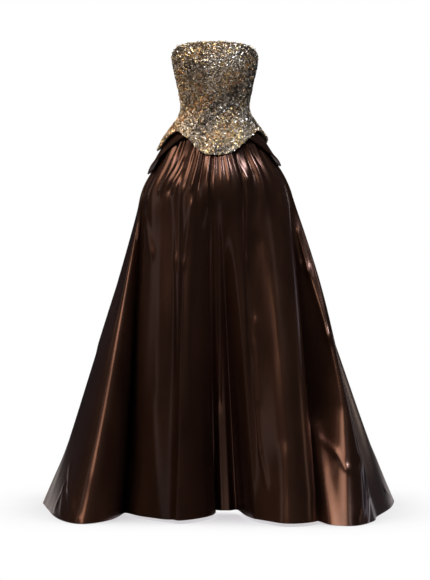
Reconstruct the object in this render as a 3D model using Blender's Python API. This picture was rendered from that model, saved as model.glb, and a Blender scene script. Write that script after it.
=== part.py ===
"""A strapless ball gown, standing as it does when it is worn, with nobody in it.

An encrusted corset bodice is cut in seven panels that run on over the waist as a
flared basque: a round tongue at centre front, an arch over each hip and a wing at
each side. A dark lining shows under the basque. Two satin hip drapes come out from
under the arches, and a full satin skirt in five panels falls to the floor in deep
folds.

The origin is the centre of the waist, where the wearer holds the gown up. +Z is up
and the front faces -Y. Left and right are the wearer's own, so +X is left. Lengths
are metres. Angles are degrees round the figure, 0 at centre front and 90 at the
wearer's left side.
"""

import math
from typing import NamedTuple

import bpy
import numpy as np

# Driving sizes
WAIST_TO_FLOOR = 1.190
HIP_HEIGHT = -0.260
SEAM_GAP = 0.0003
LAYER_GAP = 0.0003
WAIST_EASE = 0.0024
DRAPE_EASE = 0.0009
DRAPE_STAND = 0.0070
BODICE_CLOTH = 0.0025
LINING_CLOTH = 0.0010
LINING_SET_BACK = 0.25
DRAPE_CLOTH = 0.0015
SKIRT_CLOTH = 0.0015
STEP = 0.0005


class Section(NamedTuple):
    """One level oval: how far it reaches from the axis on each side."""

    height: float
    right: float
    left: float
    front: float
    back: float


BODICE_SECTIONS = (
    Section(0.200, 0.1255, 0.1255, 0.1120, 0.0900),
    Section(0.160, 0.1285, 0.1285, 0.1180, 0.0930),
    Section(0.120, 0.1230, 0.1230, 0.1175, 0.0915),
    Section(0.080, 0.1140, 0.1140, 0.1050, 0.0870),
    Section(0.040, 0.1055, 0.1055, 0.0930, 0.0815),
    Section(0.000, 0.1025, 0.1025, 0.0860, 0.0780),
    Section(-0.030, 0.1150, 0.1170, 0.0905, 0.0860),
    Section(-0.060, 0.1375, 0.1400, 0.0985, 0.0980),
    Section(-0.090, 0.1580, 0.1590, 0.1090, 0.1120),
    Section(-0.120, 0.1720, 0.1700, 0.1200, 0.1260),
    Section(-0.145, 0.1810, 0.1780, 0.1290, 0.1360),
)

# The top ring of the skirt lies inside the bodice, its lining and the drapes
WAIST_STACK = BODICE_CLOTH + LINING_CLOTH + DRAPE_CLOTH + 3 * LAYER_GAP + WAIST_EASE
SKIRT_SECTIONS = (
    Section(0.004, 0.1025 - WAIST_STACK, 0.1025 - WAIST_STACK, 0.0860 - WAIST_STACK, 0.0780 - WAIST_STACK),
    Section(-0.030, 0.1037, 0.1052, 0.0822, 0.0777),
    Section(-0.060, 0.1210, 0.1230, 0.0895, 0.0885),
    Section(-0.100, 0.1440, 0.1470, 0.1040, 0.1070),
    Section(-0.140, 0.1660, 0.1710, 0.1190, 0.1250),
    Section(-0.180, 0.1870, 0.1980, 0.1400, 0.1450),
    Section(-0.220, 0.2090, 0.2180, 0.1580, 0.1630),
    Section(-0.260, 0.2260, 0.2340, 0.1720, 0.1780),
    Section(-0.360, 0.2590, 0.2600, 0.2020, 0.2120),
)


class Fold(NamedTuple):
    """One hanging fold of the skirt, from the valley before it to the valley after it.

    crest and valley are places at the hem. The bulges round its two flanks outwards
    there. At the hip it has the two angles, and the valley after it is hip_dip deep.
    belly swells it half way down, flare above 1 keeps its spread for the floor, and
    lift is how far its hem hangs clear of the floor.
    """

    name: str
    crest_x: float
    crest_y: float
    near_bulge: float
    far_bulge: float
    valley_x: float
    valley_y: float
    hip_crest: float
    hip_valley: float
    hip_dip: float
    belly: float
    flare: float
    lift: float


# From the left edge of the centre front recess round by the wearer's left side
FOLDS = (
    Fold("front left inner", 0.104, -0.368, 0.004, 0.004, 0.135, -0.415, 13, 25, 0.013, 0.006, 1.05, 0.008),
    Fold("front left outer", 0.222, -0.487, 0.01, 0.046, 0.262, -0.3, 50, 83, 0.01, 0.024, 1.05, 0.008),
    Fold("left side front", 0.408, -0.425, 0.006, 0.02, 0.468, -0.265, 90, 97, 0.002, 0.045, 1.08, 0),
    Fold("left side", 0.546, 0.11, 0.012, 0.045, 0.425, 0.29, 104, 117, 0.01, 0.006, 1.14, 0),
    Fold("left back outer", 0.44, 0.47, 0.045, 0.05, 0.255, 0.385, 128, 141, 0.012, 0.01, 1.15, 0.002),
    Fold("left back inner", 0.17, 0.615, 0.036, 0.036, 0.005, 0.455, 154, 173, 0.012, 0.01, 1.15, 0.002),
    Fold("right back inner", -0.155, 0.62, 0.036, 0.036, -0.262, 0.395, 191, 211, 0.012, 0.01, 1.15, 0.003),
    Fold("right back outer", -0.44, 0.46, 0.05, 0.045, -0.43, 0.25, 226, 241, 0.012, 0.01, 1.15, 0.001),
    Fold("right side back", -0.508, 0.06, 0.03, 0.004, -0.492, -0.12, 252, 262, 0, 0.004, 1.00, 0),
    Fold("right side front", -0.38, -0.438, 0.024, 0.034, -0.268, -0.185, 270, 280, 0.012, 0, 1.06, 0),
    Fold("front right far", -0.196, -0.32, 0.004, 0.006, -0.14, -0.394, 303, 327, 0.014, 0.01, 1.05, 0.007),
    Fold("front right near", -0.09, -0.43, 0.006, 0.03, -0.004, -0.188, 344, 354, 0.0, 0.006, 1.05, 0.009),
    Fold("front recess", 0.03, -0.2, 0.002, 0.002, 0.066, -0.188, 359.5, 365, 0, 0, 1.05, 0.01),
)
KNOTS_PER_FOLD = 4
BOTTOM_SPREAD = 0.06


class Pleat(NamedTuple):
    """A short pressed pleat that dips the skirt under the basque and dies out below."""

    angle: float
    half_width: float
    depth: float
    ends_at: float


PLEATS = (
    Pleat(-66, 4.0, 0.005, -0.26),
    Pleat(-52, 3.5, 0.008, -0.30),
    Pleat(-43, 3.0, 0.007, -0.24),
    Pleat(36, 3.0, 0.008, -0.24),
    Pleat(45, 3.5, 0.007, -0.27),
    Pleat(58, 4.0, 0.006, -0.30),
) + tuple(Pleat(angle, 4.0, 0.006, -0.28) for angle in range(106, 260, 14))

# The height of the top edge, the basque hem and each drape's hem, by angle
NECKLINE = (
    (-180, 0.126), (-150, 0.128), (-120, 0.135), (-90, 0.151), (-75, 0.171), (-58, 0.186),
    (-30, 0.193), (0, 0.195), (30, 0.192), (50, 0.186), (68, 0.173), (90, 0.151),
    (120, 0.135), (150, 0.128),
)

BASQUE_HEM = (
    (-180, -0.124), (-140, -0.100), (-112, -0.110), (-90, -0.123), (-76, -0.113), (-66, -0.083),
    (-52, -0.066), (-38, -0.080), (-26, -0.098), (-14, -0.129), (2, -0.139), (17, -0.130),
    (29, -0.107), (45, -0.081), (66, -0.063), (82, -0.071), (96, -0.088), (118, -0.104), (140, -0.102),
)

DRAPE_HEMS = {
    "left": ((38, -0.080), (55, -0.106), (75, -0.142), (93, -0.166), (115, -0.156), (140, -0.110)),
    "right": ((38, -0.080), (55, -0.110), (75, -0.158), (95, -0.192), (115, -0.170), (140, -0.110)),
}


class SeamLevel(NamedTuple):
    """The angles of the bodice seams at one height."""

    height: float
    princess: float
    side: float
    back: float
    centre_back: float


SEAMS = (
    SeamLevel(0.200, 25, 92, 140, 180),
    SeamLevel(0.120, 27, 92, 140, 180),
    SeamLevel(0.000, 18, 92, 150, 180),
    SeamLevel(-0.060, 24, 92, 144, 180),
    SeamLevel(-0.145, 27, 92, 140, 180),
)

# The bodice panels: name, first seam, last seam and columns, the right side's seams being negative
BODICE_PANELS = (
    ("bodice_centre_front", (-1, "princess"), (1, "princess"), 14),
    ("bodice_side_front_left", (1, "princess"), (1, "side"), 14),
    ("bodice_side_back_left", (1, "side"), (1, "back"), 7),
    ("bodice_centre_back_left", (1, "back"), (1, "centre_back"), 5),
    ("bodice_centre_back_right", (-1, "centre_back"), (-1, "back"), 5),
    ("bodice_side_back_right", (-1, "back"), (-1, "side"), 7),
    ("bodice_side_front_right", (-1, "side"), (-1, "princess"), 14),
)

BUST_ANGLE = 27
BUST_HEIGHT = 0.122
BUST_SPREAD = (19, 0.040)
BUST_DEPTH = 0.0085

BODICE_ROWS_ABOVE_WAIST = 7
BODICE_ROWS_BELOW_WAIST = 6
SKIRT_LEVELS = (0.004, -0.012, -0.030, -0.065, -0.100, -0.140, -0.180) + (
    -0.220, -0.270, -0.380, -0.560, -0.780, -1.000
)
SKIRT_STEPS_PER_FOLD = 12

# The skirt panels: name, first and last valley, counted in folds from the front recess
SKIRT_PANELS = (
    ("skirt_front", -3, 2),
    ("skirt_side_left", 2, 4),
    ("skirt_back_left", 4, 6),
    ("skirt_back_right", 6, 8),
    ("skirt_side_right", 8, 10),
)


def spline(knots, values, at, period=None):
    """The smooth curve through the values: natural at its ends, or closed over a period."""
    knots = np.asarray(knots, float)
    values = np.asarray(values, float)
    at = np.asarray(at, float)
    if period:
        at = knots[0] + (at - knots[0]) % period
        knots = np.append(knots, knots[0] + period)
        values = np.append(values, values[0])
    count = len(knots)
    gap = np.diff(knots)
    slope = np.diff(values) / gap
    matrix = np.zeros((count, count))
    wanted = np.zeros(count)
    for i in range(1, count - 1):
        matrix[i, i - 1 : i + 2] = gap[i - 1], 2 * (gap[i - 1] + gap[i]), gap[i]
        wanted[i] = 6 * (slope[i] - slope[i - 1])
    matrix[-1, -1] = 1
    if period:
        matrix[0, 0], matrix[0, 1], matrix[0, -2] = 2 * (gap[0] + gap[-1]), gap[0], gap[-1]
        wanted[0] = 6 * (slope[0] - slope[-1])
        matrix[-1, 0] = -1
    else:
        matrix[0, 0] = 1
    bend = np.linalg.solve(matrix, wanted)
    i = np.clip(np.searchsorted(knots, at, side="right") - 1, 0, count - 2)
    before, after = knots[i + 1] - at, at - knots[i]
    curved = (bend[i] * before**3 + bend[i + 1] * after**3) / (6 * gap[i])
    straight = (values[i] / gap[i] - bend[i] * gap[i] / 6) * before
    return curved + straight + (values[i + 1] / gap[i] - bend[i + 1] * gap[i] / 6) * after


def rising_curve(knots, values, at):
    """A smooth curve through rising values that never turns back between them."""
    gap, slope = np.diff(knots), np.diff(values) / np.diff(knots)
    pull = np.zeros(len(knots))
    pull[1:-1] = 2 * slope[:-1] * slope[1:] / (slope[:-1] + slope[1:])
    pull[0], pull[-1] = slope[0], slope[-1]
    i = np.clip(np.searchsorted(knots, at, side="right") - 1, 0, len(knots) - 2)
    t = (at - knots[i]) / gap[i]
    start = values[i] * (1 + 2 * t) + pull[i] * gap[i] * t
    end = values[i + 1] * (3 - 2 * t) - pull[i + 1] * gap[i] * (1 - t)
    return start * (1 - t) ** 2 + end * t**2


def smooth_step(start, end, value):
    share = np.clip((value - start) / (end - start), 0, 1)
    return share * share * (3 - 2 * share)


def closed_table(table, angle):
    """A height read from a table of (angle, height) that goes right round."""
    return spline([row[0] for row in table], [row[1] for row in table], angle, 360)


def oval(sections, angle, height):
    """(x, y) on the oval of a garment at a height, for arrays of angles and heights."""
    heights = [-section.height for section in sections]
    right, left, front, back = (
        spline(heights, [section[k] for section in sections], -height) for k in range(1, 5)
    )
    turn = np.radians(angle)
    across, ahead = np.sin(turn), np.cos(turn)
    return across * np.where(across > 0, left, right), -ahead * np.where(ahead > 0, front, back)


def wrapped(angle):
    """The same angle between -180 and 180."""
    return (angle + 180) % 360 - 180


def bodice_point(angle, height):
    x, y = oval(BODICE_SECTIONS, angle, height)
    side = (np.abs(wrapped(angle)) - BUST_ANGLE) / BUST_SPREAD[0]
    rise = (height - BUST_HEIGHT) / BUST_SPREAD[1]
    cup = BUST_DEPTH * np.exp(-side * side - rise * rise)
    out = 1 + cup / np.hypot(x, y)
    return np.stack([x * out, y * out, height + 0 * x], -1)


def skirt_knots():
    """The folds as closed rows of knots: four to a fold, ending in its valley."""
    rows = {key: [] for key in ("x", "y", "angle", "dip", "belly", "flare", "lift")}
    before = FOLDS[-1]
    start = np.array([before.valley_x, before.valley_y])
    start_angle, start_dip = before.hip_valley - 360, before.hip_dip
    for fold in FOLDS:
        crest = np.array([fold.crest_x, fold.crest_y])
        end = np.array([fold.valley_x, fold.valley_y])
        near = (start + crest) / 2 + fold.near_bulge * outward(crest - start)
        far = (crest + end) / 2 + fold.far_bulge * outward(end - crest)
        for point in (near, crest, far, end):
            rows["x"].append(point[0])
            rows["y"].append(point[1])
        middle_in = (start_angle + fold.hip_crest) / 2
        middle_out = (fold.hip_crest + fold.hip_valley) / 2
        rows["angle"] += [middle_in, fold.hip_crest, middle_out, fold.hip_valley]
        rows["dip"] += [start_dip * 0.3, 0.0, fold.hip_dip * 0.3, fold.hip_dip]
        rows["belly"] += [fold.belly * 0.6, fold.belly, fold.belly * 0.6, 0.0]
        rows["flare"] += [fold.flare] * KNOTS_PER_FOLD
        rows["lift"] += [fold.lift] * KNOTS_PER_FOLD
        start, start_angle, start_dip = end, fold.hip_valley, fold.hip_dip
    return rows


def outward(chord):
    """The level direction at right angles to a chord, away from the figure."""
    return np.array([chord[1], -chord[0]]) / math.hypot(chord[0], chord[1])


KNOT_ROWS = skirt_knots()
KNOT_PLACES = (np.arange(len(KNOT_ROWS["x"])) + 1) / KNOTS_PER_FOLD


def along_folds(key, place):
    """One of the fold rows read at places counted in folds from the front recess."""
    values = np.array(KNOT_ROWS[key], float)
    if key == "angle":
        knots = np.concatenate([KNOT_PLACES - len(FOLDS), KNOT_PLACES, KNOT_PLACES + len(FOLDS)])
        turns = np.concatenate([values - 360, values, values + 360])
        return rising_curve(knots, turns, place)
    return spline(KNOT_PLACES, values, place, len(FOLDS))


def skirt_envelope(angle, height, dip):
    x, y = oval(SKIRT_SECTIONS, angle, height)
    out = 1 - dip / np.hypot(x, y)
    return x * out, y * out


def pleat_dip(angle, height):
    """How far the short pleats dip the cloth at an angle and a height."""
    dip = np.zeros(np.broadcast(angle, height).shape)
    for pleat in PLEATS:
        off = wrapped(angle - pleat.angle) / pleat.half_width
        starts = smooth_step(-0.015, -0.070, height)
        fades = 1 - smooth_step(-0.150, pleat.ends_at, height)
        dip = dip + pleat.depth * np.exp(-off * off) * starts * fades
    return dip


def hem_height(place):
    return -WAIST_TO_FLOOR + np.maximum(along_folds("lift", place), 0)


def skirt_point(place, share):
    """A point of the skirt's outer face. share is 0 at the waist and 1 at the hem."""
    hem = hem_height(place)
    top = SKIRT_LEVELS[0]
    height = top + (hem - top) * share
    angle = along_folds("angle", place)
    dip = along_folds("dip", place)
    deep = dip * smooth_step(-0.030, -0.170, height) + pleat_dip(angle, height)
    upper_x, upper_y = skirt_envelope(angle, height, deep)
    hip_x, hip_y = skirt_envelope(angle, HIP_HEIGHT + 0 * height, dip + pleat_dip(angle, height))
    fall = (HIP_HEIGHT - height) / (HIP_HEIGHT - hem)
    fallen = np.maximum(fall, 0)
    spread = np.where(fall > 0, fallen ** along_folds("flare", place), fall)
    spread = spread * (1 - BOTTOM_SPREAD) + BOTTOM_SPREAD * fallen**4
    hem_x, hem_y = along_folds("x", place), along_folds("y", place)
    lower_x = hip_x + (hem_x - hip_x) * spread
    lower_y = hip_y + (hem_y - hip_y) * spread
    swell = along_folds("belly", place) * 4 * fallen * (1 - fallen) / np.hypot(lower_x, lower_y)
    lower = smooth_step(-0.170, -0.350, height)
    x = upper_x * (1 - lower) + lower_x * (1 + swell) * lower
    y = upper_y * (1 - lower) + lower_y * (1 + swell) * lower
    return np.stack([x, y, height], -1)


def drape_point(angle, height):
    """The hip drape's outer face: the skirt's own oval, moved out over its cloth."""
    x, y = oval(SKIRT_SECTIONS, angle, height)
    stand_off = DRAPE_CLOTH + LAYER_GAP + DRAPE_EASE + DRAPE_STAND * smooth_step(-0.020, -0.170, height)
    out = 1 + stand_off / np.hypot(x, y)
    return np.stack([x * out, y * out, height + 0 * x], -1)


def outward_normal(surface, across, up):
    """The unit normal of a surface of (across, up), by small steps; up may run either way."""
    side = surface(across + STEP, up) - surface(across - STEP, up)
    rise = surface(across, up + STEP) - surface(across, up - STEP)
    rise = rise * np.sign(rise[..., 2:3])
    normal = np.cross(side, rise)
    return normal / np.linalg.norm(normal, axis=-1, keepdims=True)


def panel_wall(name, surface, across, up, thickness, finish, collection):
    """A wall on a surface, its side edges drawn in by half the seam gap. Returns its face grid."""
    outer = surface(across, up)
    normal = outward_normal(surface, across, up)
    inner = outer - normal * thickness
    edge = surface(across + STEP, up) - surface(across - STEP, up)
    edge = edge / np.linalg.norm(edge, axis=-1, keepdims=True)
    draw = np.zeros(across.shape)
    draw[:, 0] = np.sign(across[:, 1] - across[:, 0])
    draw[:, -1] = -draw[:, 0]
    move = edge * draw[..., None] * SEAM_GAP / 2
    cloth_wall(name, outer + move, inner + move, finish, collection)
    return outer, normal, edge


def material(name, colour, roughness, metallic):
    made = bpy.data.materials.get(name) or bpy.data.materials.new(name)
    made.use_nodes = True
    shader = made.node_tree.nodes["Principled BSDF"]
    shader.inputs["Base Color"].default_value = (*colour, 1)
    shader.inputs["Roughness"].default_value = roughness
    shader.inputs["Metallic"].default_value = metallic
    return made


def cloth_wall(name, outer, inner, finish, collection):
    """A closed wall of cloth between two grids of points, rows from the top down."""
    rows, columns = outer.shape[:2]
    count = rows * columns
    points = np.concatenate([outer.reshape(-1, 3), inner.reshape(-1, 3)])
    faces = []
    for i in range(rows - 1):
        for j in range(columns - 1):
            a, b = i * columns + j, i * columns + j + 1
            c, d = b + columns, a + columns
            faces.append((a, d, c, b))
            faces.append((a + count, b + count, c + count, d + count))
    top = list(range(columns))
    right = [i * columns + columns - 1 for i in range(rows)]
    bottom = [(rows - 1) * columns + j for j in reversed(range(columns))]
    left = [i * columns for i in reversed(range(rows))]
    for edge in (top, right, bottom, left):
        for a, b in zip(edge, edge[1:]):
            faces.append((a, b, b + count, a + count))
    mesh = bpy.data.meshes.new(name)
    mesh.from_pydata(points.tolist(), [], faces)
    mesh.shade_smooth()
    mesh.set_sharp_from_angle(angle=math.radians(50))
    made = bpy.data.objects.new(name, mesh)
    made.data.materials.append(finish)
    collection.objects.link(made)
    return made


def bodice_heights(angle, share):
    """The height at a share of the way down a bodice panel: 0 neckline, 1 waist, 2 hem."""
    top, low = closed_table(NECKLINE, angle), closed_table(BASQUE_HEM, angle)
    return np.where(share <= 1, top * (1 - share), low * (share - 1))


def seam_angle(seam, height):
    """The angle of a named seam at a height, negative on the right side."""
    side, name = seam
    angles = [getattr(level, name) for level in SEAMS]
    return side * spline([-level.height for level in SEAMS], angles, -height)


def bodice_grid(first, last, columns):
    """Angles and heights over a panel between two seams."""
    above = np.linspace(0, 1, BODICE_ROWS_ABOVE_WAIST + 1)
    below = 1 + np.linspace(0, 1, BODICE_ROWS_BELOW_WAIST + 1)[1:]
    share = np.concatenate([above, below])[:, None]
    across = np.linspace(0, 1, columns + 1)[None, :]
    angle = seam_angle(first, 0 * share) * (1 - across) + seam_angle(last, 0 * share) * across
    for _ in range(7):
        height = bodice_heights(angle, share)
        angle = seam_angle(first, height) * (1 - across) + seam_angle(last, height) * across
    return angle, height


def bodice_panels(collection):
    """Makes the seven panels and returns the grid of face points and normals of each."""
    cloth = material("encrusted cloth", (0.30, 0.22, 0.14), 0.4, 0.7)
    faces = {}
    for name, first, last, columns in BODICE_PANELS:
        angle, height = bodice_grid(first, last, columns)
        faces[name] = panel_wall(name, bodice_point, angle, height, BODICE_CLOTH, cloth, collection)
    return faces


def backing(name, face, normal, edge, cloth, collection):
    """A lining-weight wall just inside a part of the bodice, made from its points."""
    face = face.copy()
    face[:, 0] += edge[:, 0] * SEAM_GAP / 2
    face[:, -1] -= edge[:, -1] * SEAM_GAP / 2
    outer = face - normal * (BODICE_CLOTH + LAYER_GAP)
    cloth_wall(name, outer, outer - normal * LINING_CLOTH, cloth, collection)


def joined_columns(parts):
    """Grids side by side as one grid, each seam's column kept once."""
    kept = [grid[:, :-1] for grid in parts[:-1]] + [parts[-1]]
    return np.concatenate(kept, axis=1)


def linings(faces, collection):
    """The dark lining of the basque, and the strip the centre back closes over."""
    cloth = material("lining", (0.010, 0.008, 0.008), 0.6, 0.0)
    waist = BODICE_ROWS_ABOVE_WAIST
    sides = {
        "left": ("side_front_left", "side_back_left", "centre_back_left"),
        "right": ("centre_back_right", "side_back_right", "side_front_right"),
    }
    for side, panels in sides.items():
        grids = []
        for k in range(3):
            front = faces["bodice_centre_front"][k][waist:]
            middle = front.shape[1] // 2
            around = [faces["bodice_" + panel][k][waist:] for panel in panels]
            if side == "left":
                around = [front[:, middle:]] + around
            else:
                around = around + [front[:, : middle + 1]]
            grid = joined_columns(around)
            grid[-1] = grid[-2] * LINING_SET_BACK + grid[-1] * (1 - LINING_SET_BACK)
            grids.append(grid)
        backing("basque_lining_" + side, *grids, cloth, collection)
    back = []
    for k in range(3):
        left, right = (faces["bodice_centre_back_" + side][k] for side in ("left", "right"))
        strip = joined_columns([left[:, -2:], right[:, :2]])
        back.append(strip[1:waist])
    backing("back_closure_underlap", *back, cloth, collection)


def hip_drapes(collection):
    cloth = material("satin", (0.055, 0.026, 0.018), 0.3, 0.6)
    for name, side in (("left", 1), ("right", -1)):
        angles, lows = zip(*DRAPE_HEMS[name])
        angle = np.linspace(angles[0], angles[-1], 25)[None, ::side]
        low = spline(angles, lows, angle)
        share = np.linspace(0, 1, 7)[:, None]
        height = low * share
        angle = side * angle + 0 * height
        panel_wall("hip_drape_" + name, drape_point, angle, height, DRAPE_CLOTH, cloth, collection)


def skirt_panels(collection):
    """The five skirt panels, seamed in the bottoms of five valleys."""
    cloth = material("satin", (0.055, 0.026, 0.018), 0.3, 0.6)
    for name, first, last in SKIRT_PANELS:
        place = np.linspace(first, last, (last - first) * SKIRT_STEPS_PER_FOLD + 1)[None, :]
        levels = np.append(SKIRT_LEVELS, -WAIST_TO_FLOOR)
        share = ((levels[0] - levels) / (levels[0] - levels[-1]))[:, None]
        place, share = np.broadcast_arrays(place, share)
        panel_wall(name, skirt_point, place, share, SKIRT_CLOTH, cloth, collection)


def main():
    for old in list(bpy.data.objects):
        bpy.data.objects.remove(old)
    gown = bpy.data.collections.new("strapless gown")
    bpy.context.scene.collection.children.link(gown)
    linings(bodice_panels(gown), gown)
    hip_drapes(gown)
    skirt_panels(gown)


main()
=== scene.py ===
"""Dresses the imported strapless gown: satin skirt and hip drapes, encrusted bodice, lining and studio."""

import math
from typing import NamedTuple

import bpy
import numpy as np
from bpy.props import FloatProperty, FloatVectorProperty, PointerProperty
from bpy.types import Operator, Panel, PropertyGroup
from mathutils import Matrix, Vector


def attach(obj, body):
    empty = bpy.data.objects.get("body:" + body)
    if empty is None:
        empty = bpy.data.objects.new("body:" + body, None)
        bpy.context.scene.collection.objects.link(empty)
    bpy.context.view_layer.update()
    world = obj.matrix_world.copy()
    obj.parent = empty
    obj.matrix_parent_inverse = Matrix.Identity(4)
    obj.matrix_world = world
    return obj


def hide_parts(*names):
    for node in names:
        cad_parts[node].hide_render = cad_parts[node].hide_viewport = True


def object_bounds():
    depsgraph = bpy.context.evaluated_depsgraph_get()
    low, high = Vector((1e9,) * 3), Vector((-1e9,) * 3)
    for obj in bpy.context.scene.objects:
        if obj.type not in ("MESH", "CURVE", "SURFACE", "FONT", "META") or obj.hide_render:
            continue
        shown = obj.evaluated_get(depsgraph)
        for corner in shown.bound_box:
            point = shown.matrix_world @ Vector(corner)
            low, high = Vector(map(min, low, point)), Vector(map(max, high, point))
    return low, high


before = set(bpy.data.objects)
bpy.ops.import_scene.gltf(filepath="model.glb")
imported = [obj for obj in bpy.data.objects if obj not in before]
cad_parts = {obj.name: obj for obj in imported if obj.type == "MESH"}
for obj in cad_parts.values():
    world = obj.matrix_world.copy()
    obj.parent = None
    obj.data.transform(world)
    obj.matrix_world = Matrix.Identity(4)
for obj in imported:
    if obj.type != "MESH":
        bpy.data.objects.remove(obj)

CAD_BOX = [list(corner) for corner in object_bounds()]

bl_info = {
    "name": "Strapless gown",
    "version": (1, 0, 0),
    "blender": (4, 5, 0),
    "location": "View3D > Sidebar > Gown",
    "description": "Makes the cloth, the encrusting and the studio of a strapless ball gown",
    "category": "Object",
}

# Lengths are in metres and heights are from the waist. Angles are in degrees round the
# gown, 0 in front and positive on the wearer's left, which is +X and the viewer's right.
WAIST_TO_FLOOR = 1.190
HIP_HEIGHT = -0.260

# Cloth, and the gaps between its layers
BODICE_CLOTH = 0.0025
LINING_CLOTH = 0.0010
DRAPE_CLOTH = 0.0015
SKIRT_CLOTH = 0.0015
SEAM_GAP = 0.0003
LAYER_GAP = 0.0003
WAIST_EASE = 0.0024
DRAPE_EASE = 0.0009

# How far the hip drapes stand off, and the heights where that starts and is full
DRAPE_STAND = 0.0070
DRAPE_STANDS = (-0.020, -0.170)

# The black linings inside the bodice
LINING_SET_BACK = 0.005
UNDERLAP_SPAN = 18
UNDERLAP_TOP = 0.115
UNDERLAP_DEPTH = 0.100

# The small step that slopes are measured with, and the angle below which faces shade smoothly
STEP = 0.0005
SMOOTH_BELOW = math.radians(50)


def rows_of(kind, *rows):
    """The rows of a table, each as a named tuple of one kind."""
    return tuple(kind(*row) for row in rows)


class Section(NamedTuple):
    """One level oval: how far it reaches from the axis on each side."""

    height: float
    right: float
    left: float
    front: float
    back: float


WAIST_REACHES = (0.1025, 0.1025, 0.0860, 0.0780)
BODICE_SECTIONS = rows_of(
    Section,
    (0.200, 0.1255, 0.1255, 0.1120, 0.0900),
    (0.160, 0.1285, 0.1285, 0.1180, 0.0930),
    (0.120, 0.1230, 0.1230, 0.1175, 0.0915),
    (0.080, 0.1140, 0.1140, 0.1050, 0.0870),
    (0.040, 0.1055, 0.1055, 0.0930, 0.0815),
    (0.000, *WAIST_REACHES),
    (-0.030, 0.1150, 0.1170, 0.0905, 0.0860),
    (-0.060, 0.1375, 0.1400, 0.0985, 0.0980),
    (-0.090, 0.1580, 0.1590, 0.1090, 0.1120),
    (-0.120, 0.1720, 0.1700, 0.1200, 0.1260),
    (-0.145, 0.1810, 0.1780, 0.1290, 0.1360),
)

WAIST_STACK = BODICE_CLOTH + LINING_CLOTH + DRAPE_CLOTH + 3 * LAYER_GAP + WAIST_EASE
SKIRT_SECTIONS = rows_of(
    Section,
    (0.004, *(reach - WAIST_STACK for reach in WAIST_REACHES)),
    (-0.030, 0.1037, 0.1052, 0.0822, 0.0777),
    (-0.060, 0.1210, 0.1230, 0.0895, 0.0885),
    (-0.100, 0.1440, 0.1470, 0.1040, 0.1070),
    (-0.140, 0.1660, 0.1710, 0.1190, 0.1250),
    (-0.180, 0.1870, 0.1980, 0.1400, 0.1450),
    (-0.220, 0.2090, 0.2180, 0.1580, 0.1630),
    (-0.260, 0.2260, 0.2340, 0.1720, 0.1780),
    (-0.360, 0.2590, 0.2600, 0.2020, 0.2120),
)


class Fold(NamedTuple):
    """One hanging fold of the skirt, from the valley before it to the valley after it.

    The crest and the valley are its places at the hem, and the bulges how far the cloth
    between them stands out. hip_crest and hip_valley are their angles at the hips, and
    hip_dip the valley's depth there. belly swells the fold half way down, flare above 1
    keeps it close until low down, and lift is how far its hem is off the floor.
    """

    name: str
    crest_x: float
    crest_y: float
    near_bulge: float
    far_bulge: float
    valley_x: float
    valley_y: float
    hip_crest: float
    hip_valley: float
    hip_dip: float
    belly: float
    flare: float
    lift: float


FOLDS = rows_of(
    Fold,
    ("front left inner", 0.104, -0.368, 0.004, 0.004, 0.135, -0.415, 13, 25, 0.013, 0.006, 1.05, 0.008),
    ("front left outer", 0.222, -0.487, 0.01, 0.046, 0.262, -0.3, 50, 83, 0.01, 0.024, 1.05, 0.008),
    ("left side front", 0.408, -0.425, 0.006, 0.02, 0.468, -0.265, 90, 97, 0.002, 0.045, 1.08, 0),
    ("left side", 0.546, 0.11, 0.012, 0.045, 0.425, 0.29, 104, 117, 0.01, 0.006, 1.14, 0),
    ("left back outer", 0.44, 0.47, 0.045, 0.05, 0.255, 0.385, 128, 141, 0.012, 0.01, 1.15, 0.002),
    ("left back inner", 0.17, 0.615, 0.036, 0.036, 0.005, 0.455, 154, 173, 0.012, 0.01, 1.15, 0.002),
    ("right back inner", -0.155, 0.62, 0.036, 0.036, -0.262, 0.395, 191, 211, 0.012, 0.01, 1.15, 0.003),
    ("right back outer", -0.44, 0.46, 0.05, 0.045, -0.43, 0.25, 226, 241, 0.012, 0.01, 1.15, 0.001),
    ("right side back", -0.508, 0.06, 0.03, 0.004, -0.492, -0.12, 252, 262, 0, 0.004, 1.00, 0),
    ("right side front", -0.38, -0.438, 0.024, 0.034, -0.268, -0.185, 270, 280, 0.012, 0, 1.06, 0),
    ("front right far", -0.196, -0.32, 0.004, 0.006, -0.14, -0.394, 303, 327, 0.014, 0.01, 1.05, 0.007),
    ("front right near", -0.09, -0.43, 0.006, 0.03, -0.004, -0.188, 344, 354, 0.0, 0.006, 1.05, 0.009),
    ("front recess", 0.03, -0.2, 0.002, 0.002, 0.066, -0.188, 359.5, 365, 0, 0, 1.05, 0.01),
)
KNOTS_PER_FOLD = 4
DIP_BESIDE_CREST = 0.3
BELLY_BESIDE_CREST = 0.6
BOTTOM_SPREAD = 0.06

# The heights where the folds' dips, and then the folds themselves, start and are full
DIPS = (-0.030, -0.170)
HANGING = (-0.170, -0.350)


class Pleat(NamedTuple):
    """A short pressed pleat that dips the skirt under the basque and dies out below."""

    angle: float
    half_width: float
    depth: float
    ends_at: float


# The heights where the pleats start and are full, and where they begin to fade
PLEATING = (-0.015, -0.070)
PLEATS_FADE = -0.150
PLEATS = rows_of(
    Pleat,
    (-66, 4.0, 0.005, -0.26),
    (-52, 3.5, 0.008, -0.30),
    (-43, 3.0, 0.007, -0.24),
    (36, 3.0, 0.008, -0.24),
    (45, 3.5, 0.007, -0.27),
    (58, 4.0, 0.006, -0.30),
    *((angle, 4.0, 0.006, -0.28) for angle in range(106, 260, 14)),
)


class Crease(NamedTuple):
    """A soft crease in a hanging panel, a ridge where its depth is positive.

    It runs straight from one place and height to another, places being counted in folds
    from the front recess. half_width is in folds and depth in metres.
    """

    start_place: float
    start_height: float
    end_place: float
    end_height: float
    half_width: float
    depth: float


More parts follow.
